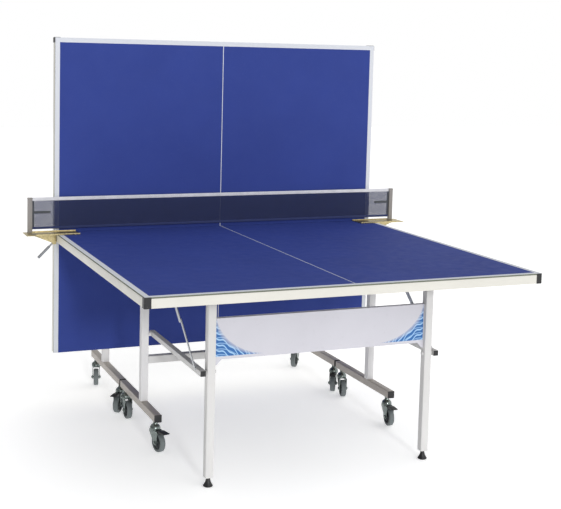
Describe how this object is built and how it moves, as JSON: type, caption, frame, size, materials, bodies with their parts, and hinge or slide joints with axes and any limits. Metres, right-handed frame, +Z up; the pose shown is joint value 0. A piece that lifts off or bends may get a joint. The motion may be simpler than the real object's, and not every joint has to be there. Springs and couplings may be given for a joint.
{
  "type": "ping pong table",
  "caption": "Outdoor ping pong table in two wheeled folding halves with a clamped net, one half open and the other folded upright.",
  "frame": {"origin": "on the floor, under the middle of the whole table as it stands", "axes": "+X along the net towards the right seen from the open half, +Y from the open half towards the upright half, +Z up"},
  "size_m": [1.8, 1.6526, 1.595],
  "materials": {
    "board": "matt blue playing paint on an aluminium composite sheet, white lines",
    "edge_frame": "satin off-white powder coat",
    "tube_steel": "satin light grey powder coat",
    "carriage_steel": "satin warm grey powder coat",
    "leg_panel": "printed white sheet steel",
    "zinc_steel": "bright zinc",
    "yellow_zinc": "yellow passivated zinc",
    "caster_steel": "dark bright-plated steel",
    "wheel": "grey moulded wheel and tread",
    "black_plastic": "fine matt",
    "net_post": "grey powder coat",
    "net_cloth": "knotted polyester mesh with a white tape"
  },
  "bodies": {
    "near_carriage": {"near_side_frame_left": "carriage_steel", "near_side_frame_right": "carriage_steel", "near_crossbar": "tube_steel"},
    "near_top": {"near_board": "board", "near_top_frame": "edge_frame", "net": "net_cloth", "net_post_left": "net_post", "net_post_right": "net_post", "net_bracket_left": "yellow_zinc", "net_bracket_right": "yellow_zinc"},
    "near_legs": {"near_leg_left": "tube_steel", "near_leg_right": "tube_steel", "near_leg_panel": "leg_panel"},
    "near_braces": {"near_brace_left": "tube_steel", "near_brace_right": "tube_steel"},
    "near_upper_stays": {"near_upper_stay_left": "zinc_steel", "near_upper_stay_right": "zinc_steel"},
    "near_lower_stays": {"near_lower_stay_left": "zinc_steel", "near_lower_stay_right": "zinc_steel"},
    "near_foot_left": {"near_foot_left": "black_plastic"},
    "near_foot_right": {"near_foot_right": "black_plastic"},
    "far_carriage": {"far_side_frame_left": "carriage_steel", "far_side_frame_right": "carriage_steel", "far_crossbar": "tube_steel"},
    "far_top": {"far_board": "board", "far_top_frame": "edge_frame"},
    "far_legs": {"far_leg_left": "tube_steel", "far_leg_right": "tube_steel", "far_leg_panel": "leg_panel"},
    "far_braces": {"far_brace_left": "tube_steel", "far_brace_right": "tube_steel"},
    "far_upper_stays": {"far_upper_stay_left": "zinc_steel", "far_upper_stay_right": "zinc_steel"},
    "far_lower_stays": {"far_lower_stay_left": "zinc_steel", "far_lower_stay_right": "zinc_steel"},
    "far_foot_left": {"far_foot_left": "black_plastic"},
    "far_foot_right": {"far_foot_right": "black_plastic"},
    "clamp_lever_left": {"clamp_lever_left": "zinc_steel"},
    "clamp_lever_right": {"clamp_lever_right": "zinc_steel"},
    "near_outer_left_caster": {"near_outer_left_caster_fork": "caster_steel"},
    "near_outer_left_wheel": {"near_outer_left_caster_wheel": "wheel"},
    "near_outer_left_brake_pedal": {"near_outer_left_brake_pedal": "black_plastic"},
    "near_outer_right_caster": {"near_outer_right_caster_fork": "caster_steel"},
    "near_outer_right_wheel": {"near_outer_right_caster_wheel": "wheel"},
    "near_outer_right_brake_pedal": {"near_outer_right_brake_pedal": "black_plastic"},
    "near_inner_left_caster": {"near_inner_left_caster_fork": "caster_steel"},
    "near_inner_left_wheel": {"near_inner_left_caster_wheel": "wheel"},
    "near_inner_right_caster": {"near_inner_right_caster_fork": "caster_steel"},
    "near_inner_right_wheel": {"near_inner_right_caster_wheel": "wheel"},
    "far_inner_left_caster": {"far_inner_left_caster_fork": "caster_steel"},
    "far_inner_left_wheel": {"far_inner_left_caster_wheel": "wheel"},
    "far_inner_left_brake_pedal": {"far_inner_left_brake_pedal": "black_plastic"},
    "far_inner_right_caster": {"far_inner_right_caster_fork": "caster_steel"},
    "far_inner_right_wheel": {"far_inner_right_caster_wheel": "wheel"},
    "far_inner_right_brake_pedal": {"far_inner_right_brake_pedal": "black_plastic"},
    "far_outer_left_caster": {"far_outer_left_caster_fork": "caster_steel"},
    "far_outer_left_wheel": {"far_outer_left_caster_wheel": "wheel"},
    "far_outer_right_caster": {"far_outer_right_caster_fork": "caster_steel"},
    "far_outer_right_wheel": {"far_outer_right_caster_wheel": "wheel"}
  },
  "joints": [
    {"name": "near_top_fold", "type": "hinge", "parent": "near_carriage", "child": "near_top", "pos_m": [0, 0.05375, 0.715], "axis": [-1, 0, 0], "range_deg": [0, 90], "deforming": ["net"]},
    {"name": "near_legs_swing", "type": "hinge", "parent": "near_top", "child": "near_legs", "pos_m": [0, -0.53125, 0.715], "axis": [-1, 0, 0], "range_deg": [-90, 0]},
    {"name": "near_braces_swing", "type": "hinge", "parent": "near_carriage", "child": "near_braces", "pos_m": [0, 0.02075, 0.418], "axis": [-1, 0, 0], "range_deg": [0, 90]},
    {"name": "near_upper_stays_swing", "type": "hinge", "parent": "near_top", "child": "near_upper_stays", "pos_m": [0, -0.19825, 0.7], "axis": [-1, 0, 0], "range_deg": [-138.5, 0]},
    {"name": "near_lower_stays_swing", "type": "hinge", "parent": "near_braces", "child": "near_lower_stays", "pos_m": [0, -0.52825, 0.424], "axis": [-1, 0, 0], "range_deg": [0, 38.31]},
    {"name": "near_foot_left_screw", "type": "slide", "parent": "near_legs", "child": "near_foot_left", "axis": [0, 0, 1], "range_m": [-0.015, 0]},
    {"name": "near_foot_right_screw", "type": "slide", "parent": "near_legs", "child": "near_foot_right", "axis": [0, 0, 1], "range_m": [-0.015, 0]},
    {"name": "far_carriage_roll", "type": "slide", "parent": "near_carriage", "child": "far_carriage", "axis": [0, 1, 0], "range_m": [0, 0.47]},
    {"name": "far_top_fold", "type": "hinge", "parent": "far_carriage", "child": "far_top", "pos_m": [0, 0.59275, 0.715], "axis": [-1, 0, 0], "range_deg": [0, 90]},
    {"name": "far_legs_swing", "type": "hinge", "parent": "far_top", "child": "far_legs", "pos_m": [0, 0.59275, 1.3], "axis": [-1, 0, 0], "range_deg": [-90, 0]},
    {"name": "far_braces_swing", "type": "hinge", "parent": "far_carriage", "child": "far_braces", "pos_m": [0, 0.62575, 0.418], "axis": [-1, 0, 0], "range_deg": [0, 90]},
    {"name": "far_upper_stays_swing", "type": "hinge", "parent": "far_top", "child": "far_upper_stays", "pos_m": [0, 0.60775, 0.967], "axis": [-1, 0, 0], "range_deg": [-138.5, 0]},
    {"name": "far_lower_stays_swing", "type": "hinge", "parent": "far_braces", "child": "far_lower_stays", "pos_m": [0, 0.61975, 0.967], "axis": [-1, 0, 0], "range_deg": [0, 38.31]},
    {"name": "far_foot_left_screw", "type": "slide", "parent": "far_legs", "child": "far_foot_left", "axis": [0, 0, 1], "range_m": [-0.015, 0]},
    {"name": "far_foot_right_screw", "type": "slide", "parent": "far_legs", "child": "far_foot_right", "axis": [0, 0, 1], "range_m": [-0.015, 0]},
    {"name": "clamp_lever_left_turn", "type": "hinge", "parent": "near_top", "child": "clamp_lever_left", "pos_m": [-0.776, 0.50375, 0.7217], "axis": [0, -1, 0], "range_deg": [0, 45]},
    {"name": "clamp_lever_right_turn", "type": "hinge", "parent": "near_top", "child": "clamp_lever_right", "pos_m": [0.776, 0.50375, 0.7217], "axis": [0, 1, 0], "range_deg": [0, 45]},
    {"name": "near_outer_left_swivel", "type": "hinge", "parent": "near_carriage", "child": "near_outer_left_caster", "pos_m": [-0.51, -0.14525, 0.118], "axis": [0, 0, 1], "continuous": true},
    {"name": "near_outer_left_wheel_spin", "type": "hinge", "parent": "near_outer_left_caster", "child": "near_outer_left_wheel", "pos_m": [-0.5037, -0.17253, 0.0375], "axis": [0.9744, 0.225, 0], "continuous": true},
    {"name": "near_outer_left_brake_pedal_press", "type": "hinge", "parent": "near_outer_left_caster", "child": "near_outer_left_brake_pedal", "pos_m": [-0.5019, -0.18033, 0.08], "axis": [0.9744, 0.225, 0], "range_deg": [0, 18]},
    {"name": "near_outer_right_swivel", "type": "hinge", "parent": "near_carriage", "child": "near_outer_right_caster", "pos_m": [0.51, -0.14525, 0.118], "axis": [0, 0, 1], "continuous": true},
    {"name": "near_outer_right_wheel_spin", "type": "hinge", "parent": "near_outer_right_caster", "child": "near_outer_right_wheel", "pos_m": [0.50707, -0.1731, 0.0375], "axis": [0.9945, -0.1045, 0], "continuous": true},
    {"name": "near_outer_right_brake_pedal_press", "type": "hinge", "parent": "near_outer_right_caster", "child": "near_outer_right_brake_pedal", "pos_m": [0.50624, -0.18105, 0.08], "axis": [0.9945, -0.1045, 0], "range_deg": [0, 18]},
    {"name": "near_inner_left_swivel", "type": "hinge", "parent": "near_carriage", "child": "near_inner_left_caster", "pos_m": [-0.51, 0.28075, 0.118], "axis": [0, 0, 1], "range_deg": [-45, 60]},
    {"name": "near_inner_left_wheel_spin", "type": "hinge", "parent": "near_inner_left_caster", "child": "near_inner_left_wheel", "pos_m": [-0.50902, 0.25277, 0.0375], "axis": [0.9994, 0.0349, 0], "continuous": true},
    {"name": "near_inner_right_swivel", "type": "hinge", "parent": "near_carriage", "child": "near_inner_right_caster", "pos_m": [0.51, 0.28075, 0.118], "axis": [0, 0, 1], "range_deg": [-45, 60]},
    {"name": "near_inner_right_wheel_spin", "type": "hinge", "parent": "near_inner_right_caster", "child": "near_inner_right_wheel", "pos_m": [0.50275, 0.2537, 0.0375], "axis": [0.9659, -0.2588, 0], "continuous": true},
    {"name": "far_inner_left_swivel", "type": "hinge", "parent": "far_carriage", "child": "far_inner_left_caster", "pos_m": [-0.51, 0.36575, 0.118], "axis": [0, 0, 1], "range_deg": [-150, 0]},
    {"name": "far_inner_left_wheel_spin", "type": "hinge", "parent": "far_inner_left_caster", "child": "far_inner_left_wheel", "pos_m": [-0.52646, 0.3431, 0.0375], "axis": [0.809, -0.5878, 0], "continuous": true},
    {"name": "far_inner_left_brake_pedal_press", "type": "hinge", "parent": "far_inner_left_caster", "child": "far_inner_left_brake_pedal", "pos_m": [-0.53116, 0.33663, 0.08], "axis": [0.809, -0.5878, 0], "range_deg": [0, 18]},
    {"name": "far_inner_right_swivel", "type": "hinge", "parent": "far_carriage", "child": "far_inner_right_caster", "pos_m": [0.51, 0.36575, 0.118], "axis": [0, 0, 1], "range_deg": [-150, 0]},
    {"name": "far_inner_right_wheel_spin", "type": "hinge", "parent": "far_inner_right_caster", "child": "far_inner_right_wheel", "pos_m": [0.496, 0.3415, 0.0375], "axis": [0.866, -0.5, 0], "continuous": true},
    {"name": "far_inner_right_brake_pedal_press", "type": "hinge", "parent": "far_inner_right_caster", "child": "far_inner_right_brake_pedal", "pos_m": [0.492, 0.33457, 0.08], "axis": [0.866, -0.5, 0], "range_deg": [0, 18]},
    {"name": "far_outer_left_swivel", "type": "hinge", "parent": "far_carriage", "child": "far_outer_left_caster", "pos_m": [-0.51, 0.79175, 0.118], "axis": [0, 0, 1], "continuous": true},
    {"name": "far_outer_left_wheel_spin", "type": "hinge", "parent": "far_outer_left_caster", "child": "far_outer_left_wheel", "pos_m": [-0.51725, 0.7647, 0.0375], "axis": [0.9659, -0.2588, 0], "continuous": true},
    {"name": "far_outer_right_swivel", "type": "hinge", "parent": "far_carriage", "child": "far_outer_right_caster", "pos_m": [0.51, 0.79175, 0.118], "axis": [0, 0, 1], "continuous": true},
    {"name": "far_outer_right_wheel_spin", "type": "hinge", "parent": "far_outer_right_caster", "child": "far_outer_right_wheel", "pos_m": [0.49238, 0.76999, 0.0375], "axis": [0.7771, -0.6293, 0], "continuous": true}
  ],
  "couplings": [
    {"joint": "near_legs_swing", "follows": "near_top_fold", "ratio": -1},
    {"joint": "near_braces_swing", "follows": "near_top_fold", "ratio": 1},
    {"joint": "near_upper_stays_swing", "follows": "near_top_fold", "ratio": -1.5388},
    {"joint": "near_lower_stays_swing", "follows": "near_top_fold", "ratio": 0.42566},
    {"joint": "far_legs_swing", "follows": "far_top_fold", "ratio": -1},
    {"joint": "far_braces_swing", "follows": "far_top_fold", "ratio": 1},
    {"joint": "far_upper_stays_swing", "follows": "far_top_fold", "ratio": -1.5388},
    {"joint": "far_lower_stays_swing", "follows": "far_top_fold", "ratio": 0.42566},
    {"joint": "far_carriage_roll", "follows": "far_top_fold", "m_per_rad": 0.29921}
  ]
}
